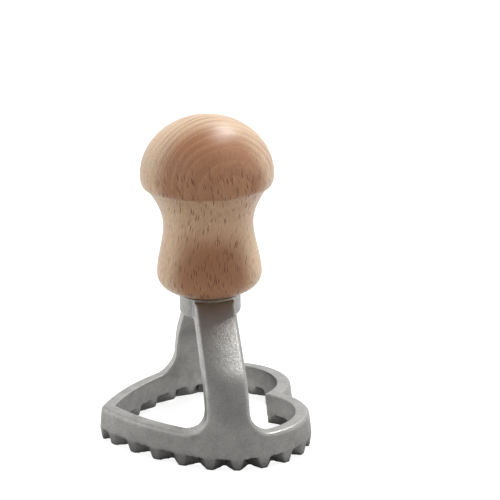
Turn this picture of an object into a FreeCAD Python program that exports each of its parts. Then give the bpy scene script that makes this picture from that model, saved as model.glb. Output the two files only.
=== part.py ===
import FreeCAD, Part
import math
import os

os.makedirs("parts", exist_ok=True)

V = FreeCAD.Vector

# A hand stamp that cuts and crimps heart-shaped ravioli: a toothed aluminium ring under an arch,
# and a turned beech knob held on the arch by a screw from below.
# Millimetres. X runs from the tip of the heart to its notch, Z is up, the teeth stand on z = 0.
# The origin is the middle of the ring's length and width.

# Heart seen from above, taken at the top edge of the ring's outer wall
ring_length = 62.0          # tip to lobes, over the parting line
lobe_radius = 22.9
lobe_spread = 14.0          # from the middle line to a lobe's centre
tip_radius = 4.6
side_radius = 78.6          # long arc from the tip to a lobe

# Section of the ring
ring_height = 10.2
parting_height = 3.6        # top of the teeth, where the two mould halves met
parting_flare = 0.55        # the wall stands this far out at the parting line
top_width = 4.3             # flat top of the ring
edge_width = 3.6            # the ring's width at the tips of the teeth
edge_round = 1.2            # rounded outer top edge
edge_bands = 4              # bands that make up that rounding

# Teeth, spaced along the outer wall from the tip to the notch
first_tooth = 6.8
side_pitch = 9.5
side_teeth = 5
lobe_pitch = 8.1
lobe_teeth = 7
crest_foot = 1.8            # width of a tooth at its tip
crest_head = 3.7            # width of a tooth at the parting line
ridge_foot = 0.8            # width of the inner ridges between the grooves
groove_depth = 3.0          # in plan, on the outside and on the inside
notch_depth = 3.0           # the same at the heart's notch
bevel_land = 0.9            # flat part of the tooth tips, from the outside in
bevel_rise = 0.7            # how far the inner edge stands up from the board

# Arch over the ring
knob_offset = 3.7           # from the ring's middle towards the notch
strap_width = 12.3
strap_foot_shift = -0.95    # the feet stand a little towards the tip
strap_thickness = 4.3
strap_flare = 6.5           # radius between a foot and the ring's top
strap_round = 1.2           # rounded outer edges of the strap
strap_root = 2.0            # how far the feet run down into the ring
shoulder_radius = 24.0      # outer bend of the arch
arch_steps = 8              # sections from a foot to the crown

# Collar on the crown of the arch
collar_radius = 9.25
collar_height = 6.3
collar_round = 1.3
crown_drop = 1.0            # from the knob's seat to the top of the arch
seat_height = 43.9          # where the knob sits

# Knob, its heights measured from its seat
knob_radius = 20.0
knob_height = 54.1
widest_above = 36.3
crease_radius = 17.95
crease_above = 32.2
neck_radius = 13.55
neck_above = 21.5
bulge_radius = 15.8
bulge_above = 6.4
foot_radius = 7.1

# Screw that comes up through the crown
screw_radius = 2.0
screw_length = 32.0         # below the head
screw_point = 6.0
head_radius = 4.0
head_height = 2.8
head_edge = 0.7             # straight rim of the head
recess_width = 1.1
recess_span = 4.4
recess_depth = 1.4
crown_clearance = 0.25      # round the screw in the crown
pilot_clearance = 0.05      # round the screw in the knob
pilot_bottom = 2.0          # left below the screw's point

overshoot = 1.0             # how far a cutter runs past the face that it opens


# Plan of the heart

tip_x = -ring_length / 2 + parting_flare + tip_radius
lobe_x = ring_length / 2 - parting_flare - lobe_radius
knob_axis = V(knob_offset, 0, 0)


def side_centre():
    """Centre of the long arc that touches the tip and the +Y lobe from inside"""
    gap = V(lobe_x - tip_x, lobe_spread, 0)
    to_tip = side_radius - tip_radius
    to_lobe = side_radius - lobe_radius
    along = (gap.Length ** 2 + to_tip ** 2 - to_lobe ** 2) / (2 * gap.Length)
    across = math.sqrt(to_tip ** 2 - along ** 2)
    step = V(gap).normalize()
    return V(tip_x, 0, 0) + step * along + V(step.y, -step.x, 0) * across


tip_centre = V(tip_x, 0, 0)
lobe_centre = V(lobe_x, lobe_spread, 0)
long_centre = side_centre()
tip_angle = math.atan2(tip_centre.y - long_centre.y, tip_centre.x - long_centre.x)
lobe_angle = math.atan2(lobe_centre.y - long_centre.y, lobe_centre.x - long_centre.x)


def notch_angle(offset):
    """Where a lobe's arc meets the middle line, as an angle about the lobe's centre"""
    return -math.asin(lobe_spread / (lobe_radius + offset))


def on_arc(centre, radius, angle, z=0.0):
    return V(centre.x + radius * math.cos(angle), centre.y + radius * math.sin(angle), z)


def mirrored(point):
    return V(point.x, -point.y, point.z)


def heart_wire(offset, z):
    """The heart at height z, with its outline pushed out by offset"""
    lobe = [on_arc(lobe_centre, lobe_radius + offset, a, z) for a in
            (notch_angle(offset), (notch_angle(offset) + lobe_angle) / 2, lobe_angle)]
    side = [on_arc(long_centre, side_radius + offset, a, z) for a in
            (lobe_angle, (lobe_angle + tip_angle) / 2, tip_angle)]
    lobe[0].y = 0.0
    tip = [side[2], V(tip_x - tip_radius - offset, 0, z), mirrored(side[2])]
    rows = [lobe, [lobe[2]] + side[1:], tip]
    rows += [[mirrored(p) for p in reversed(row)] for row in ([lobe[2]] + side[1:], lobe)]
    return Part.Wire([Part.Arc(*row).toShape() for row in rows])


def heart_solid(levels):
    """Stack of heart outlines, each given as (offset, z)"""
    wires = [heart_wire(offset, z) for offset, z in levels]
    return Part.makeLoft(wires, True, True)


tip_run = tip_radius * (math.pi - tip_angle)
side_run = side_radius * (tip_angle - lobe_angle)
notch_run = tip_run + side_run + lobe_radius * (lobe_angle - notch_angle(0))


def arc_at(run):
    """Centre, radius and angle of the outline at a length measured from the tip, on the +Y side"""
    if run <= tip_run:
        return tip_centre, tip_radius, math.pi - run / tip_radius
    if run <= tip_run + side_run:
        return long_centre, side_radius, tip_angle - (run - tip_run) / side_radius
    return lobe_centre, lobe_radius, lobe_angle - (run - tip_run - side_run) / lobe_radius


def outline_point(run, offset):
    centre, radius, angle = arc_at(run)
    return on_arc(centre, radius + offset, angle)


def wall_reach(x, offset):
    """Half width of the heart at x, where its side arc or its lobe lies"""
    if x < on_arc(long_centre, side_radius + offset, lobe_angle).x:
        return long_centre.y + math.sqrt((side_radius + offset) ** 2 - (x - long_centre.x) ** 2)
    return lobe_centre.y + math.sqrt((lobe_radius + offset) ** 2 - (x - lobe_centre.x) ** 2)


# Ring

def inner_width(z):
    """Width of the ring at height z; the inner wall leans out towards the teeth"""
    return edge_width + (top_width - edge_width) * z / ring_height


def ring_blank():
    round_foot = ring_height - edge_round
    levels = [(0.0, 0.0), (parting_flare, parting_height), (0.0, round_foot)]
    for band in range(1, edge_bands + 1):
        turn = math.pi / 2 * band / edge_bands
        levels.append((edge_round * (math.cos(turn) - 1), round_foot + edge_round * math.sin(turn)))
    return heart_solid(levels)


def ring_opening():
    top = ring_height + overshoot
    return heart_solid([(-inner_width(-overshoot), -overshoot), (-inner_width(top), top)])


def tooth_runs():
    """Where the teeth stand, along the outline from the tip to the notch"""
    side = [first_tooth + side_pitch * i for i in range(side_teeth)]
    return [0.0] + side + [side[-1] + lobe_pitch * (i + 1) for i in range(lobe_teeth)]


def groove_cutter(start, end, depth, outwards, head_shift):
    """Wedge that opens a groove between two tooth edges, given at the tips of the teeth.

    outwards points from the wedge's edge to its mouth, and head_shift is how far the mouth moves
    that way at the parting line. The groove narrows upwards as the teeth widen."""
    middle = (start + end) * 0.5
    along = (end - start).normalize()
    half = (end - start).Length / 2
    steep = depth / half
    narrowing = (crest_head - crest_foot) / 2 / parting_height
    wires = []
    for z in (-overshoot, parting_height):
        mouth = middle + outwards * (head_shift * z / parting_height)
        width = half - narrowing * z
        reach = width + overshoot / steep
        corners = [mouth - outwards * (steep * width),
                   mouth + outwards * overshoot + along * reach,
                   mouth + outwards * overshoot - along * reach]
        wires.append(Part.makePolygon([V(c.x, c.y, z) for c in corners + corners[:1]]))
    return Part.makeLoft(wires, True, True)


def across(start, end):
    """Unit vector at right angles to a chord, to the outside of the +Y half"""
    step = (end - start).normalize()
    return V(-step.y, step.x, 0)


def outer_grooves(teeth):
    cutters = []
    for left, right in zip(teeth, teeth[1:]):
        start = outline_point(left + crest_foot / 2, 0.0)
        end = outline_point(right - crest_foot / 2, 0.0)
        cutters.append(groove_cutter(start, end, groove_depth, across(start, end), parting_flare))
    return cutters


def notch_groove(teeth):
    """The groove between the last two teeth, in the notch of the heart"""
    edge = outline_point(teeth[-1] + crest_foot / 2, 0.0)
    notch = outline_point(notch_run, 0.0)
    depth = edge.x - notch.x + notch_depth
    return groove_cutter(mirrored(edge), edge, depth, V(1, 0, 0), parting_flare)


def inner_grooves(teeth):
    """A groove inside behind each outer tooth, so that the edge zigzags"""
    ridges = [(left + right) / 2 for left, right in zip(teeth, teeth[1:])]
    cusp = notch_run + lobe_radius * (notch_angle(0) - notch_angle(-edge_width))
    lean = inner_width(parting_height) - edge_width
    cutters = []
    for left, right in zip(ridges, ridges[1:] + [cusp]):
        ends = []
        for run, turn in ((left, 1), (right, -1)):
            radius = arc_at(run)[1]
            ends.append(run + turn * ridge_foot / 2 * radius / (radius - edge_width))
        start = outline_point(ends[0], -edge_width)
        end = outline_point(ends[1], -edge_width)
        cutters.append(groove_cutter(start, end, groove_depth, across(start, end) * -1.0, lean))
    return cutters


def tip_bevel():
    """Takes the inner edge of the teeth up from the board"""
    run = (edge_width - bevel_land) / bevel_rise
    low = -bevel_rise / 2
    high = bevel_rise * 1.25
    return heart_solid([(-bevel_land - run * low, low), (-bevel_land - run * high, high)])


def toothed_ring():
    teeth = tooth_runs()
    cutters = []
    for cutter in outer_grooves(teeth) + inner_grooves(teeth):
        cutters += [cutter, cutter.mirror(V(0, 0, 0), V(0, 1, 0))]
    cutters.append(notch_groove(teeth))
    return ring_blank().cut([ring_opening(), tip_bevel()]).cut(cutters)


# Arch and collar

arch_foot = ring_height - edge_round
crown_height = seat_height - crown_drop
collar_foot = seat_height - collar_height
bend_centre = wall_reach(knob_offset, 0.0) - shoulder_radius


def bend_turn():
    """How far the bend of the arch turns before its straight slope to the crown"""
    out = collar_radius - bend_centre
    up = crown_height - arch_foot
    return math.atan2(up, out) - math.acos(shoulder_radius / math.hypot(out, up))


def arch_levels(radius, top):
    """Heights and half spans up the arch, at even steps over its bend and its straight slope"""
    turn = bend_turn()
    bend = radius * turn
    bend_z = arch_foot + radius * math.sin(turn)
    bend_reach = bend_centre + radius * math.cos(turn)
    whole = bend + (top - bend_z) / math.cos(turn)
    levels = [(arch_foot - strap_root, bend_centre + radius)]
    for step in range(arch_steps + 1):
        run = whole * step / arch_steps
        angle = min(run / radius, turn)
        slope = max(run - bend, 0.0)
        levels.append((arch_foot + radius * math.sin(angle) + slope * math.cos(turn),
                       bend_centre + radius * math.cos(angle) - slope * math.sin(turn)))
    return levels


def wall_arcs(offset, x_low, x_high):
    """The +Y wall of the heart between two places along X: part of a side arc and part of a lobe"""
    meet = on_arc(long_centre, side_radius + offset, lobe_angle)
    first = V(x_low, wall_reach(x_low, offset), 0)
    last = V(x_high, wall_reach(x_high, offset), 0)
    arcs = []
    for centre, radius, start, end in ((long_centre, side_radius + offset, first, meet),
                                       (lobe_centre, lobe_radius + offset, meet, last)):
        middle = ((start - centre) + (end - centre)).normalize() * radius + centre
        arcs.append(Part.Arc(start, middle, end).toShape())
    return arcs


def arch_form(levels, offset, x_low, x_high):
    """Solid under an arch that starts on the heart's wall and grows narrower as it rises"""
    arcs = wall_arcs(offset, x_low, x_high)
    wires = []
    for z, reach in levels:
        rows = []
        for way in (1, -1):
            place = FreeCAD.Matrix()
            place.scale(V(1, way * reach / levels[0][1], 1))
            place.move(V(0, 0, z))
            rows.append([arc.transformGeometry(place) for arc in arcs])
        ends = [Part.makeLine(rows[0][k].Vertexes[k].Point, rows[1][k].Vertexes[k].Point) for k in (0, -1)]
        wires.append(Part.Wire(Part.__sortEdges__(rows[0] + rows[1] + ends)))
    return Part.makeLoft(wires, True, False)


def rounded_corner(before, corner, after, radius):
    """Three points of the arc that rounds a corner"""
    first = (before - corner).normalize()
    second = (after - corner).normalize()
    half = first.getAngle(second) / 2
    trim = radius / math.tan(half)
    middle = (first + second).normalize() * (radius / math.sin(half) - radius)
    return [corner + first * trim, corner + middle, corner + second * trim]


def strap_outline():
    """The strap seen from the front, with feet that flare into the ring, as a prism through it"""
    depth = 2 * (wall_reach(knob_offset, 0.0) + overshoot)
    low = -depth / 2
    foot_x = knob_offset + strap_foot_shift
    sides = []
    for way in (-1, 1):
        foot = V(foot_x + way * strap_width / 2, low, ring_height)
        head = V(knob_offset + way * strap_width / 2, low, crown_height)
        arc = rounded_corner(foot + V(way, 0, 0), foot, head, strap_flare)
        far = arc[0] + V(way * overshoot, 0, 0)
        sides.append((head, arc, far, V(far.x, low, arch_foot - strap_root)))
    edges = []
    for head, arc, far, root in sides:
        edges += [Part.makeLine(head, arc[2]), Part.Arc(*reversed(arc)).toShape(),
                  Part.makeLine(arc[0], far), Part.makeLine(far, root)]
    edges += [Part.makeLine(sides[0][0], sides[1][0]), Part.makeLine(sides[0][3], sides[1][3])]
    wire = Part.Wire(Part.__sortEdges__(edges))
    return Part.Face(wire).extrude(V(0, depth, 0)), sides[0][2].x, sides[1][2].x


def strap():
    prism, x_low, x_high = strap_outline()
    x_low -= overshoot
    x_high += overshoot
    outside = arch_form(arch_levels(shoulder_radius, crown_height + overshoot), 0.0, x_low, x_high)
    inside = arch_form(arch_levels(shoulder_radius - strap_thickness, collar_foot),
                       -top_width, x_low - overshoot, x_high + overshoot)
    block = outside.common(prism).Solids[0]
    rims = [edge for edge in block.Edges if edge.BoundBox.ZLength > strap_flare / 2]
    return block.makeFillet(strap_round, rims).cut([inside, ring_opening()])


def revolved(edges):
    """Solid of revolution about the knob's axis, from a profile drawn in the XZ plane"""
    wire = Part.Wire(edges)
    wire.translate(knob_axis)
    return Part.Face(wire).revolve(knob_axis, V(0, 0, 1), 360)


def lines(points):
    return [Part.makeLine(V(a[0], 0, a[1]), V(b[0], 0, b[1])) for a, b in zip(points, points[1:])]


def collar():
    turn = math.cos(math.pi / 4)
    arc = [V(collar_radius - collar_round, 0, collar_foot),
           V(collar_radius - collar_round * (1 - turn), 0, collar_foot + collar_round * (1 - turn)),
           V(collar_radius, 0, collar_foot + collar_round)]
    hole = screw_radius + crown_clearance
    rest = [(collar_radius, arc[2].z), (collar_radius, seat_height), (hole, seat_height),
            (hole, collar_foot), (arc[0].x, collar_foot)]
    return revolved([Part.Arc(*arc).toShape()] + lines(rest))


def crown_hole():
    hole = Part.makeCylinder(screw_radius + crown_clearance, seat_height - collar_foot + 2 * overshoot)
    hole.translate(knob_axis + V(0, 0, collar_foot - overshoot))
    return hole


def stamp_frame():
    whole = toothed_ring().fuse([strap(), collar()]).cut(crown_hole())
    return whole.removeSplitter()


# Knob and screw

ellipse_pull = 0.5523       # a cubic curve with these arms follows a quarter of an ellipse


def curve(points):
    bezier = Part.BezierCurve()
    bezier.setPoles([V(r, 0, z) for r, z in points])
    return bezier.toShape()


def quarter(start, end, upright_first):
    """Quarter of an ellipse between two points (radius, height)"""
    dr = (end[0] - start[0]) * ellipse_pull
    dz = (end[1] - start[1]) * ellipse_pull
    if upright_first:
        return curve([start, (start[0], start[1] + dz), (end[0] - dr, end[1]), end])
    return curve([start, (start[0] + dr, start[1]), (end[0], end[1] - dz), end])


def knob():
    top = (0, seat_height + knob_height)
    widest = (knob_radius, seat_height + widest_above)
    crease = (crease_radius, seat_height + crease_above)
    neck = (neck_radius, seat_height + neck_above)
    bulge = (bulge_radius, seat_height + bulge_above)
    foot = (foot_radius, seat_height)
    drop = crease_above - neck_above
    swell = neck_above - bulge_above
    entry = (crease_radius - (crease_radius - neck_radius) * 0.53, crease[1] - drop * 0.3)
    hole = screw_radius + pilot_clearance
    depth = screw_length - collar_height + pilot_bottom
    edges = [quarter(top, widest, False),
             quarter(widest, crease, True),
             curve([crease, entry, (neck_radius, neck[1] + drop * 0.36), neck]),
             curve([neck, (neck_radius, neck[1] - swell / 3), (bulge_radius, bulge[1] + swell / 3), bulge]),
             quarter(bulge, foot, True)]
    bore = [foot, (hole, seat_height), (hole, seat_height + depth), (0, seat_height + depth), top]
    return revolved(edges + lines(bore))


def handle_screw():
    """Pan head below the crown, plain shank and point in the knob"""
    under = collar_foot
    rim = under - head_edge
    face = under - head_height
    point = under + screw_length
    dome = [V(head_radius, 0, rim), V(head_radius * 0.66, 0, (rim + face) / 2 - head_edge / 2), V(0, 0, face)]
    rest = [(0, face), (0, point), (screw_radius, point - screw_point), (screw_radius, under),
            (head_radius, under), (head_radius, rim)]
    body = revolved([Part.Arc(*dome).toShape()] + lines(rest))
    slots = []
    for x, y in ((recess_span, recess_width), (recess_width, recess_span)):
        slot = Part.makeBox(x, y, recess_depth + overshoot)
        slot.translate(knob_axis + V(-x / 2, -y / 2, face - overshoot))
        slots.append(slot)
    return body.cut(slots)


parts = {"stamp_frame": stamp_frame(), "knob": knob(), "handle_screw": handle_screw()}
for name, shape in parts.items():
    shape.exportStep("parts/" + name + ".step")
    print(name, shape.ShapeType, len(shape.Solids), "solid", shape.isValid(), round(shape.Volume, 1))
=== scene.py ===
import math

import bmesh
import bpy
from mathutils import Matrix, Vector


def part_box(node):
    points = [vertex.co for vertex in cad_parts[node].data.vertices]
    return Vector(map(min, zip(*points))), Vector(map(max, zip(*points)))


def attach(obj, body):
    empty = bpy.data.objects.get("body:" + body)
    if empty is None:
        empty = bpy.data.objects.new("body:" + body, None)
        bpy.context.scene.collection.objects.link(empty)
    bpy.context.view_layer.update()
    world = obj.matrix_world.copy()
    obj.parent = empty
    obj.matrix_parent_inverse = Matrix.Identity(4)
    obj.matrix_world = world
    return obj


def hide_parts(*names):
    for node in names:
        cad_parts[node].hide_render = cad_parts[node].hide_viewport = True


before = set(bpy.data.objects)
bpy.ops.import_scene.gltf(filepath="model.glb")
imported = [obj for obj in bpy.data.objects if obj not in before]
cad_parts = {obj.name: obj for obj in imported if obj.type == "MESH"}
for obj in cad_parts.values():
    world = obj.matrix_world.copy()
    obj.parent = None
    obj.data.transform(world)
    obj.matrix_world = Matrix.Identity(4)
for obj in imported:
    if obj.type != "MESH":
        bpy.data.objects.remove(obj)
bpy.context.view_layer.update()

# A hand stamp: a toothed heart-shaped ring and its arch in cast aluminium, under a turned beech knob.
# Metres. X runs from the tip of the heart to its notch, Z is up, and the camera stands on the -Y side.

MM = 0.001
MERGE = 0.001 * MM           # corners closer than this are one corner

knob_low, knob_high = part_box("knob")
knob_axis = Vector(((knob_low.x + knob_high.x) / 2, 0, 0))

# Knob, measured up from its seat on the collar
knob_radius = (knob_high.y - knob_low.y) / 2
knob_height = knob_high.z - knob_low.z
widest_above = 36.3 * MM
crease_radius = 17.95 * MM
crease_above = 32.2 * MM
neck_radius = 13.55 * MM
neck_above = 21.5 * MM
bulge_radius = 15.8 * MM
bulge_above = 6.4 * MM
foot_radius = 7.1 * MM
bore_radius = 2.05 * MM
bore_depth = 27.7 * MM

# Curves of the knob's profile, with the pulls of their handles as shares of a curve's reach
ellipse_pull = 0.5523        # gives a quarter of an ellipse
entry_in = 0.53              # from the crease in towards the neck
entry_down = 0.3             # from the crease down
neck_pull = 0.36             # up from the neck
swell_pull = 1 / 3           # along the axis, between the neck and the bulge
curve_steps = 14             # points along each curve
turn_steps = 144             # round the knob

# Casting and screw
skin_size = 0.36 * MM        # spacing of the casting's skin
tumbling = 2                 # how often its edges are eased
easing = 0.5                 # how much each time
sharp_angle = math.radians(30)               # edges of the screw that stay sharp
coarse_share = 0.35          # the blasted grain's fine scale times this gives its coarse one

# Cast aluminium, with its colours as red, green and blue from 0 to 255
metal_dark = (153, 152, 150)
metal_light = (177, 176, 173)
# painted highlight along the casting's edges
metal_edge_highlight = (208, 207, 204)
# painted shade for the recesses between the teeth
metal_painted_shade = (60, 59, 58)
dark_roughness, light_roughness = 0.43, 0.33
cast_spacing, cast_depth = 0.35, 0.046       # of the blasted grain, in millimetres
cloud_scale = 260.0          # faint clouds of tone, about 4 mm wide
grain_share, cloud_share = 0.6, 0.4          # their parts in the metal's tone
tone_band = (0.36, 0.64)
edge_highlight_width = 1.2 * MM      # from an edge inwards
edge_highlight_band = (0.9, 0.5)     # share of metal round a spot, from a plain face to an edge
edge_highlight_share = 0.35
recess_reach = 5.0 * MM      # how near another wall brings painted shade into a recess
outer_recess = (0.6, 0.25)   # share of open air round a spot, from no painted shade to full painted shade
inner_recess = (0.85, 0.55)  # the same on the ring's inside
inner_facing = (0.1, -0.2)   # how far a face looks outwards, from outer faces to inner ones
recess_shade_band = (4.2 * MM, 3.2 * MM)             # heights from walls without painted shade down to teeth with it
recess_shade_share = 0.7

# Zinc-plated steel
steel_dark = (170, 171, 172)
steel_light = (205, 206, 206)
steel_roughness = 0.3
steel_spacing, steel_depth = 0.25, 0.008

# Beech colours
beech_pale = (238, 206, 170)
beech_heart = (196, 143, 105)
# heart colour darkened as painted shade for the bulge
beech_heart_painted_shade = (172, 119, 82)
beech_late = (152, 98, 66)
beech_fibre = (150, 102, 72)
beech_fleck = (112, 56, 32)
beech_roughness, fleck_roughness = 0.34, 0.5

# Beech, in millimetres, with heights above the board
log_turn = math.radians(4)   # turn of the layers about the knob's axis, to the left from the front
lean_height = 81.0           # the fibres lean most here, and the other way further down
lean_rate = 0.18             # radians of the lean's wave for each millimetre of height
lean_reach = 1.2             # how far the lean carries a fibre sideways
layer_curl = 0.012           # how fast the layers bend back to the sides
layer_slope = 0.3            # how fast they come forward going up
layer_rate = 0.34            # layers in each millimetre of depth
layer_sway, sway_scale = 3.0, (0.07, 0.07, 0.04)
layer_spread, spread_scale = 5.0, (0.3, 0.3, 0.3)    # unevenness of their widths
late_rise, late_fall = (0.1, 0.85), (1.0, 0.85)      # shares of a year: slow rise, sudden fall
late_patches = (0.1, 0.1, 0.06)
late_weak, late_strong = 0.12, 0.42
twist_band, twist_most = (54.0, 82.0), 0.45          # the dome's layers face more to the right
dome_band, below_dome = (70.0, 84.0), 0.25           # the layers show more strongly going up here
crease_height = (knob_low.z + crease_above) / MM
waist_foot, waist_share = (59.0, 68.0), 0.6          # the neck is paler from here up to the crease, partly the wood's own paler tone and partly painted light against the dome's shadow
crease_edge = (crease_height + 0.5, crease_height - 0.5)
# band of painted shade on the bulge, fading out at its foot and up towards the neck
bulge_top, bulge_foot = (66.0, 57.0), (46.0, 53.0)
heart_depth = (7.0, 15.0)    # from the axis towards the front, where the darker heart begins
fibre_scale = (4.5, 2.4, 0.22)
fibre_band, fibre_share = (0.35, 0.75), 0.5
fibre_height = 0.4           # against a fleck's depth
fleck_size = (0.38, 6.0, 3.7)                # width, depth and height of a fleck's cell
fleck_edge = (0.33, 0.25)    # from a cell's middle, as a share of its size
fleck_pick = (0.05, 0.8)     # uneven strengths, so that some cells stay almost empty
fleck_front = (5.0, 14.0)    # distance in front of the axis or behind it, where the rays end
fleck_band = (93.0, 80.0)    # the dome's top has hardly any
wood_relief = 0.03 * MM

# Camera, as in the photograph
camera_place = Vector((-81.884, -548.196, 198.924)) * MM
camera_pan = 0.177048
camera_tilt = 0.251183
camera_roll = -0.019505
focal_pixels = 1910.736
frame_pixels = 500
sensor_width = 36.0
nearest_seen = 0.01

# Floor
floor_radius, floor_sides = 3.0, 96
floor_roughness = 0.9
floor_grey = 0.52
floor_seen = 0.82            # added for the camera alone, so that the floor looks white
floor_mirrored = 0.5         # added for reflections, behind the object
floor_behind = (-40 * MM, 60 * MM)

# Room, brightest towards a white cloth behind and to the right of the object
cloth_way = (0.57, 0.82, 0.0)
cloth_band = (-1.0, 0.5)     # how far a direction turns towards the cloth
room_glow, cloth_glow = 0.3, 1.05
left_side, left_glow = (-0.2, -1.0), 0.6     # added on the left
ceiling, ceiling_share = (0.6, 1.0), 0.4     # what is left of the light straight above

# Lamps: place, side and glow
aim_point = (0.0, 0.0, 50 * MM)
key_lamp = ((0.36, 0.34, 0.84), 0.28, 13.0)
over_lamp = ((0.27, 0.06, 0.955), 0.28, 7.5)


# Helpers for shader nodes

def feed(tree, node, inputs):
    """Gives a node's sockets their values, or links them to other nodes' outputs"""
    for name, value in inputs.items():
        if isinstance(value, bpy.types.NodeSocket):
            tree.links.new(value, node.inputs[name])
        else:
            node.inputs[name].default_value = value


def put(tree, kind, inputs=None, **settings):
    node = tree.nodes.new(kind)
    for name, value in settings.items():
        setattr(node, name, value)
    feed(tree, node, inputs or {})
    return node


def maths(tree, operation, *values):
    return put(tree, "ShaderNodeMath", dict(enumerate(values)), operation=operation).outputs[0]


def plus(tree, first, second):
    return maths(tree, "ADD", first, second)


def minus(tree, first, second):
    return maths(tree, "SUBTRACT", first, second)


def times(tree, first, *others):
    for other in others:
        first = maths(tree, "MULTIPLY", first, other)
    return first


def vector_maths(tree, operation, *values):
    node = put(tree, "ShaderNodeVectorMath", dict(enumerate(values)), operation=operation)
    return node.outputs["Value" if operation == "DOT_PRODUCT" else "Vector"]


def remap(tree, value, low, high, to_low=0.0, to_high=1.0):
    """Smooth step from to_low to to_high as the value goes from low to high"""
    node = put(tree, "ShaderNodeMapRange",
               {"Value": value, "From Min": low, "From Max": high, "To Min": to_low, "To Max": to_high},
               interpolation_type="SMOOTHSTEP")
    return node.outputs["Result"]


def colour(parts):
    """Linear colour of one given from 0 to 255 as it is seen on a screen"""
    shares = [part / 255 for part in parts]
    return tuple(s / 12.92 if s <= 0.04045 else ((s + 0.055) / 1.055) ** 2.4 for s in shares) + (1.0,)


def blend(tree, share, first, second):
    """Mix of two colours, each a triple or another node's output"""
    first, second = [colour(c) if isinstance(c, tuple) else c for c in (first, second)]
    # The colour sockets of this node are its seventh and eighth, and its third output
    return put(tree, "ShaderNodeMix", {"Factor": share, 6: first, 7: second}, data_type="RGBA").outputs[2]


def material(name):
    made = bpy.data.materials.new(name)
    made.use_nodes = True
    tree = made.node_tree
    tree.nodes.clear()
    shader = put(tree, "ShaderNodeBsdfPrincipled")
    put(tree, "ShaderNodeOutputMaterial", {"Surface": shader.outputs["BSDF"]})
    return made, tree, shader


def group(name, inputs, outputs):
    tree = bpy.data.node_groups.new(name, "ShaderNodeTree")
    for label, kind, value in inputs:
        socket = tree.interface.new_socket(label, in_out="INPUT", socket_type=kind)
        if value is not None:
            socket.default_value = value
    for label, kind in outputs:
        tree.interface.new_socket(label, in_out="OUTPUT", socket_type=kind)
    return tree, put(tree, "NodeGroupInput"), put(tree, "NodeGroupOutput")


# Blasted grain, shared by the casting and the screw

def grain_group():
    """Fine grain on a coarser one; Spacing and Depth are in millimetres"""
    tree, given, out = group(
        "fine_grain",
        [("Place", "NodeSocketVector", None), ("Spacing", "NodeSocketFloat", 0.3),
         ("Depth", "NodeSocketFloat", 0.02)],
        [("Mask", "NodeSocketFloat"), ("Normal", "NodeSocketVector")])
    place = given.outputs["Place"]
    scale = maths(tree, "DIVIDE", 1 / MM, given.outputs["Spacing"])
    fine = put(tree, "ShaderNodeTexNoise",
               {"Vector": place, "Scale": scale, "Detail": 3.0, "Roughness": 0.6})
    coarse = put(tree, "ShaderNodeTexNoise",
                 {"Vector": place, "Scale": times(tree, scale, coarse_share), "Detail": 2.0})
    bump = put(tree, "ShaderNodeBump",
               {"Height": plus(tree, fine.outputs[0], coarse.outputs[0]), "Strength": 1.0,
                "Distance": times(tree, given.outputs["Depth"], MM)})
    feed(tree, out, {"Mask": fine.outputs[0], "Normal": bump.outputs[0]})
    return tree


def grained(tree, grain, place, spacing, depth):
    inputs = {"Place": place, "Spacing": spacing, "Depth": depth}
    return put(tree, "ShaderNodeGroup", inputs, node_tree=grain)


# Materials

def recess_shade_mask(tree, place, normal):
    """Painted shade in low recesses: between the teeth, most of all inside the ring"""
    openness = put(tree, "ShaderNodeAmbientOcclusion", {"Distance": recess_reach}, samples=8).outputs["AO"]
    flat = vector_maths(tree, "MULTIPLY", place, (1.0, 1.0, 0.0))
    facing = vector_maths(tree, "DOT_PRODUCT", normal, vector_maths(tree, "NORMALIZE", flat))
    inner = times(tree, remap(tree, facing, *inner_facing), remap(tree, openness, *inner_recess))
    deep = maths(tree, "MAXIMUM", remap(tree, openness, *outer_recess), inner)
    above_board = put(tree, "ShaderNodeSeparateXYZ", {"Vector": place}).outputs["Z"]
    return times(tree, deep, remap(tree, above_board, *recess_shade_band))


def cast_metal(grain):
    made, tree, shader = material("cast_metal")
    surface = put(tree, "ShaderNodeTexCoord")
    place = surface.outputs["Object"]
    skin = grained(tree, grain, place, cast_spacing, cast_depth)
    cloud = put(tree, "ShaderNodeTexNoise",
                {"Vector": place, "Scale": cloud_scale, "Detail": 4.0, "Roughness": 0.65})
    tone = plus(tree, times(tree, skin.outputs["Mask"], grain_share),
                times(tree, cloud.outputs[0], cloud_share))
    tone = remap(tree, tone, *tone_band)
    base = blend(tree, tone, metal_dark, metal_light)
    # painted highlight, lighter towards the edges
    inside = put(tree, "ShaderNodeAmbientOcclusion", {"Distance": edge_highlight_width}, inside=True, samples=8)
    edge_highlight = remap(tree, inside.outputs["AO"], *edge_highlight_band, 0.0, edge_highlight_share)
    base = blend(tree, edge_highlight, base, metal_edge_highlight)
    # painted shade in the recesses, darker where less open air reaches
    recess_shade = times(tree, recess_shade_mask(tree, place, surface.outputs["Normal"]), recess_shade_share)
    base = blend(tree, recess_shade, base, metal_painted_shade)
    feed(tree, shader, {"Base Color": base, "Metallic": 1.0, "Normal": skin.outputs["Normal"],
                        "Roughness": remap(tree, tone, 0.0, 1.0, dark_roughness, light_roughness)})
    return made


def screw_steel(grain):
    made, tree, shader = material("screw_steel")
    place = put(tree, "ShaderNodeTexCoord").outputs["Object"]
    skin = grained(tree, grain, place, steel_spacing, steel_depth)
    base = blend(tree, skin.outputs["Mask"], steel_dark, steel_light)
    feed(tree, shader, {"Base Color": base, "Metallic": 1.0, "Roughness": steel_roughness,
                        "Normal": skin.outputs["Normal"]})
    return made


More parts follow.
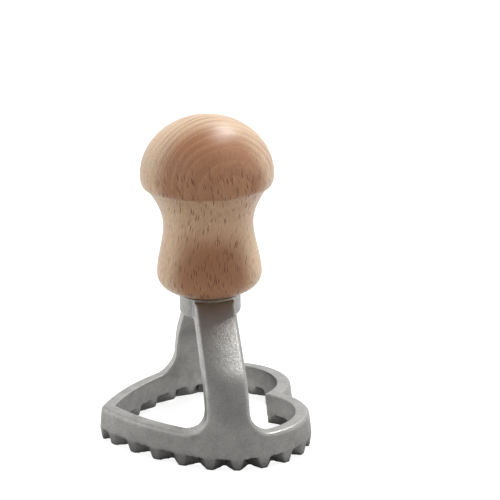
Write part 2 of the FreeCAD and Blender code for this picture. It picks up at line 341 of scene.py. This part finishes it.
def wood_place(tree):
    """Millimetres across, towards the front and up from the knob's axis, with the lean of the fibres"""
    place = put(tree, "ShaderNodeTexCoord").outputs["Object"]
    turned = put(tree, "ShaderNodeMapping",
                 {"Vector": place, "Location": (-knob_axis.x, 0, 0), "Rotation": (0, 0, log_turn)})
    scaled = put(tree, "ShaderNodeMapping",
                 {"Vector": turned.outputs[0], "Scale": (1 / MM, -1 / MM, 1 / MM)})
    parts = put(tree, "ShaderNodeSeparateXYZ", {"Vector": scaled.outputs[0]})
    lean = maths(tree, "SINE", times(tree, minus(tree, parts.outputs["Z"], lean_height), lean_rate))
    side = plus(tree, parts.outputs["X"], times(tree, lean, lean_reach))
    return side, parts.outputs["Y"], parts.outputs["Z"]


def wood_noise(tree, axes, scale, detail=1.0, roughness=0.5):
    """Noise that is stretched by a scale of its own along each axis"""
    spot = put(tree, "ShaderNodeCombineXYZ", dict(zip("XYZ", axes)))
    stretched = put(tree, "ShaderNodeMapping", {"Vector": spot.outputs[0], "Scale": scale})
    noise = put(tree, "ShaderNodeTexNoise",
                {"Vector": stretched.outputs[0], "Scale": 1.0, "Detail": detail, "Roughness": roughness})
    return noise.outputs[0]


def fleck_mask(tree, axes):
    """Ends of the wood's rays: short upright dashes of uneven strength"""
    _, front, up = axes
    spot = put(tree, "ShaderNodeCombineXYZ", dict(zip("XYZ", axes)))
    cell = put(tree, "ShaderNodeMapping",
               {"Vector": spot.outputs[0], "Scale": [1 / size for size in fleck_size]})
    cells = put(tree, "ShaderNodeTexVoronoi", {"Vector": cell.outputs[0], "Scale": 1.0}, feature="F1")
    pick = put(tree, "ShaderNodeSeparateColor", {"Color": cells.outputs["Color"]}).outputs[0]
    return times(tree, remap(tree, cells.outputs["Distance"], *fleck_edge),
                 remap(tree, pick, *fleck_pick, 0.1, 1.0),
                 remap(tree, maths(tree, "ABSOLUTE", front), *fleck_front, 0.15, 1.0),
                 remap(tree, up, *fleck_band, 0.1, 0.95))


def layer_mask(tree, axes, middle):
    """Late wood of the growth layers, with a soft inner side and a sharp outer one"""
    side, _, up = axes
    twist = times(tree, side, remap(tree, up, *twist_band, 0.0, twist_most))
    depth = minus(tree, plus(tree, middle, twist), times(tree, up, layer_slope))
    spread = times(tree, wood_noise(tree, (depth, 0.0, 0.0), spread_scale), layer_spread)
    year = maths(tree, "FRACT", times(tree, plus(tree, depth, spread), layer_rate))
    late = times(tree, remap(tree, year, *late_rise), remap(tree, year, *late_fall))
    strong = remap(tree, wood_noise(tree, axes, late_patches), 0.35, 0.65, late_weak, late_strong)
    return times(tree, late, strong, remap(tree, up, *dome_band, below_dome, 1.0))


def knob_wood():
    """Flat-sawn beech: growth layers that face the front, with the rays' short dark ends on them"""
    made, tree, shader = material("knob_wood")
    side, front, up = axes = wood_place(tree)
    sway = times(tree, wood_noise(tree, axes, sway_scale), layer_sway)
    middle = plus(tree, minus(tree, front, times(tree, side, side, layer_curl)), sway)
    # paler neck: partly the wood's own tone, partly painted light against the dome's shadow
    waist = times(tree, remap(tree, up, *waist_foot), remap(tree, up, *crease_edge))
    heart = times(tree, remap(tree, middle, *heart_depth),
                  minus(tree, 1.0, times(tree, waist, waist_share)))
    # painted shade on the bulge
    low = times(tree, remap(tree, up, *bulge_top), remap(tree, up, *bulge_foot))
    base = blend(tree, heart, beech_pale, blend(tree, low, beech_heart, beech_heart_painted_shade))
    base = blend(tree, layer_mask(tree, axes, middle), base, beech_late)
    fibre = wood_noise(tree, axes, fibre_scale, 4.0, 0.6)
    base = blend(tree, remap(tree, fibre, *fibre_band, 0.0, fibre_share), base, beech_fibre)
    fleck = fleck_mask(tree, axes)
    base = blend(tree, fleck, base, beech_fleck)
    bump = put(tree, "ShaderNodeBump", {"Height": minus(tree, times(tree, fibre, fibre_height), fleck),
                                        "Strength": 0.6, "Distance": wood_relief})
    feed(tree, shader, {"Base Color": base, "Normal": bump.outputs[0],
                        "Roughness": remap(tree, fleck, 0.0, 1.0, beech_roughness, fleck_roughness)})
    return made


# Pieces

def link(name, data):
    """Object at the origin that shows a mesh, a lamp or a camera"""
    shown = bpy.data.objects.new(name, data)
    bpy.context.scene.collection.objects.link(shown)
    return shown


def merged_copy(node):
    """Mesh of a solid, its triangles joined"""
    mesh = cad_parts[node].data.copy()
    form = bmesh.new()
    form.from_mesh(mesh)
    bmesh.ops.remove_doubles(form, verts=form.verts, dist=MERGE)
    form.to_mesh(mesh)
    form.free()
    if mesh.has_custom_normals:  # they don't fit the joined corners
        mesh.attributes.remove(mesh.attributes["custom_normal"])
    return mesh


def pan_screw():
    mesh = merged_copy("handle_screw")
    mesh.shade_smooth()
    mesh.set_sharp_from_angle(angle=sharp_angle)
    return link("pan_screw", mesh)


def cast_frame():
    """The casting with its edges eased as tumbling leaves them"""
    piece = link("cast_frame", merged_copy("stamp_frame"))
    skin = piece.modifiers.new("skin", "REMESH")
    skin.mode = "VOXEL"
    skin.voxel_size = skin_size
    skin.use_smooth_shade = True
    ease = piece.modifiers.new("ease", "SMOOTH")
    ease.factor = easing
    ease.iterations = tumbling
    shaped = bpy.data.meshes.new_from_object(piece.evaluated_get(bpy.context.evaluated_depsgraph_get()))
    piece.modifiers.clear()
    piece.data = shaped
    return piece


def cubic(points, steps):
    """Points along a cubic curve, without its first one"""
    first, second, third, last = [Vector(p) for p in points]
    row = []
    for step in range(1, steps + 1):
        t = step / steps
        s = 1 - t
        row.append(first * s ** 3 + second * 3 * s * s * t + third * 3 * s * t * t + last * t ** 3)
    return row


def quarter(start, end, upright_first):
    """Quarter of an ellipse between two points (radius, height)"""
    out = (end[0] - start[0]) * ellipse_pull
    up = (end[1] - start[1]) * ellipse_pull
    if upright_first:
        handles = ((start[0], start[1] + up), (end[0] - out, end[1]))
    else:
        handles = ((start[0] + out, start[1]), (end[0], end[1] - up))
    return cubic((start, *handles, end), curve_steps)


def knob_profile():
    """Points (radius, height above the seat) from the top down and round into the bore"""
    top = (0.0, knob_height)
    widest = (knob_radius, widest_above)
    crease = (crease_radius, crease_above)
    neck = (neck_radius, neck_above)
    bulge = (bulge_radius, bulge_above)
    foot = (foot_radius, 0.0)
    bore = [(bore_radius, 0.0), (bore_radius, bore_depth), (0.0, bore_depth)]
    drop = crease_above - neck_above
    swell = neck_above - bulge_above
    entry = (crease_radius - (crease_radius - neck_radius) * entry_in, crease_above - drop * entry_down)
    above_neck = (neck_radius, neck_above + drop * neck_pull)
    below_neck = (neck_radius, neck_above - swell * swell_pull)
    above_bulge = (bulge_radius, bulge_above + swell * swell_pull)
    row = [Vector(top)]
    row += quarter(top, widest, False)
    row += quarter(widest, crease, True)
    row += cubic((crease, entry, above_neck, neck), curve_steps)
    row += cubic((neck, below_neck, above_bulge, bulge), curve_steps)
    row += quarter(bulge, foot, True)
    return row + [Vector(point) for point in bore]


def turned_knob():
    form = bmesh.new()
    row = [form.verts.new((knob_axis.x + p.x, 0, knob_low.z + p.y)) for p in knob_profile()]
    edges = [form.edges.new(pair) for pair in zip(row, row[1:])]
    bmesh.ops.spin(form, geom=row + edges, cent=knob_axis, axis=(0, 0, 1), angle=2 * math.pi,
                   steps=turn_steps, use_merge=True)
    bmesh.ops.remove_doubles(form, verts=form.verts, dist=MERGE)
    bmesh.ops.recalc_face_normals(form, faces=form.faces)
    mesh = bpy.data.meshes.new("turned_knob")
    form.to_mesh(mesh)
    form.free()
    mesh.shade_smooth()
    return link("turned_knob", mesh)


def dress(piece, node, finish):
    piece.data.materials.clear()
    piece.data.materials.append(finish)
    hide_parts(node)
    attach(piece, "root")


# Studio

def camera():
    lens = bpy.data.cameras.new("camera")
    lens.sensor_width = sensor_width
    lens.lens = focal_pixels / frame_pixels * sensor_width
    lens.clip_start = nearest_seen
    holder = link("camera", lens)
    turn = (Matrix.Rotation(-camera_pan, 4, "Z") @ Matrix.Rotation(math.pi / 2 - camera_tilt, 4, "X")
            @ Matrix.Rotation(camera_roll, 4, "Z"))
    holder.matrix_world = Matrix.Translation(camera_place) @ turn
    bpy.context.scene.camera = holder


def floor():
    form = bmesh.new()
    bmesh.ops.create_circle(form, cap_ends=True, segments=floor_sides, radius=floor_radius)
    mesh = bpy.data.meshes.new("floor")
    form.to_mesh(mesh)
    form.free()
    made, tree, shader = material("floor_white")
    path = put(tree, "ShaderNodeLightPath")
    place = put(tree, "ShaderNodeTexCoord").outputs["Object"]
    spot = put(tree, "ShaderNodeSeparateXYZ", {"Vector": place})
    mirrored = times(tree, path.outputs["Is Glossy Ray"],
                     remap(tree, spot.outputs["Y"], *floor_behind, 0.0, floor_mirrored))
    seen = times(tree, path.outputs["Is Camera Ray"], floor_seen)
    feed(tree, shader, {"Base Color": (floor_grey, floor_grey, floor_grey, 1.0),
                        "Roughness": floor_roughness, "Specular IOR Level": 0.0,
                        "Emission Color": (1.0, 1.0, 1.0, 1.0),
                        "Emission Strength": plus(tree, seen, mirrored)})
    mesh.materials.append(made)
    piece = link("floor", mesh)


def softbox(name, place, side, glow):
    """Square lamp of a given brightness as seen from the object"""
    lamp = bpy.data.lights.new(name, "AREA")
    lamp.size = side
    lamp.energy = glow * math.pi * side * side
    holder = link(name, lamp)
    aim = (Vector(aim_point) - Vector(place)).to_track_quat("-Z", "Y")
    holder.matrix_world = Matrix.Translation(Vector(place)) @ aim.to_matrix().to_4x4()


def room():
    """White cloth behind the object and to its right, and a dimmer room on the camera's side and above"""
    world = bpy.data.worlds.new("studio")
    bpy.context.scene.world = world
    world.use_nodes = True
    tree = world.node_tree
    tree.nodes.clear()
    way = put(tree, "ShaderNodeTexCoord").outputs["Generated"]
    parts = put(tree, "ShaderNodeSeparateXYZ", {"Vector": way})
    cloth = remap(tree, vector_maths(tree, "DOT_PRODUCT", way, cloth_way), *cloth_band,
                  room_glow, cloth_glow)
    left = remap(tree, parts.outputs["X"], *left_side, 0.0, left_glow)
    above = remap(tree, parts.outputs["Z"], *ceiling, 1.0, ceiling_share)
    seen = put(tree, "ShaderNodeLightPath").outputs["Is Camera Ray"]
    strength = maths(tree, "MAXIMUM", times(tree, plus(tree, cloth, left), above), seen)
    sky = put(tree, "ShaderNodeBackground", {"Color": (1.0, 1.0, 1.0, 1.0), "Strength": strength})
    put(tree, "ShaderNodeOutputWorld", {"Surface": sky.outputs[0]})


grain = grain_group()
dress(cast_frame(), "stamp_frame", cast_metal(grain))
dress(turned_knob(), "knob", knob_wood())
dress(pan_screw(), "handle_screw", screw_steel(grain))
floor()
camera()
room()
softbox("key_box", *key_lamp)
softbox("over_box", *over_lamp)
bpy.context.scene.view_settings.view_transform = "Standard"
